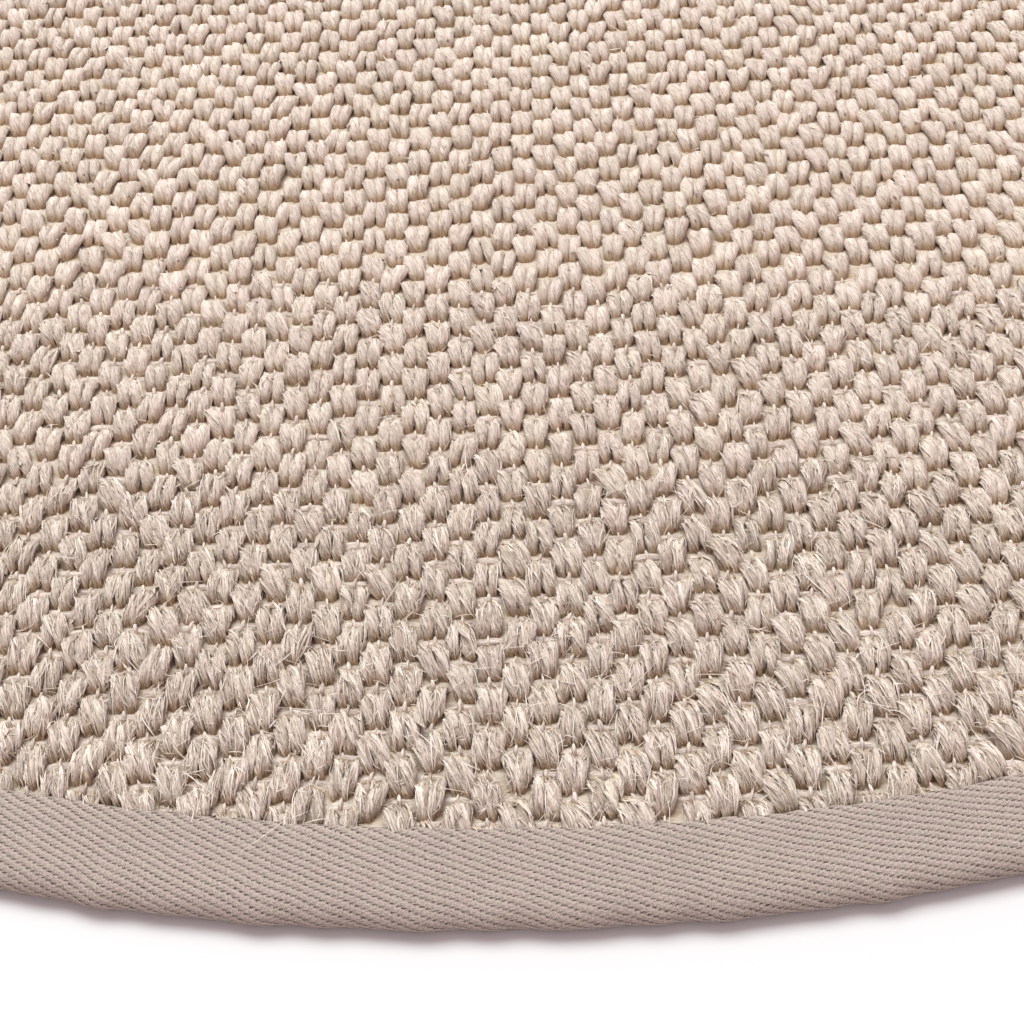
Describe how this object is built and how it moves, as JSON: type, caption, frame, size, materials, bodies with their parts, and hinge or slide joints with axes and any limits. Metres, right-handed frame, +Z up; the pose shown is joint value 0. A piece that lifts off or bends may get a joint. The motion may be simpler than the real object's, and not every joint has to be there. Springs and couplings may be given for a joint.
{
  "type": "round bordered sisal rug",
  "caption": "Round flat-woven sisal rug in a checkered panama weave, its edge bound all round with a folded greige cotton twill tape.",
  "frame": {"origin": "middle of the rug's underside, on the floor it lies on", "axes": "+Z up out of the floor; the warp yarns run along Y and the weft yarns along X; the rug is round about Z"},
  "size_m": [1, 1, 0.007],
  "materials": {
    "sisal_yarn": "coarse two-ply sisal yarn, dry and matte, with loose fibre ends",
    "cotton_tape": "flat matte cotton twill"
  },
  "bodies": {
    "root": {"sisal_field": "sisal_yarn", "edge_binding": "cotton_tape"}
  },
  "joints": []
}
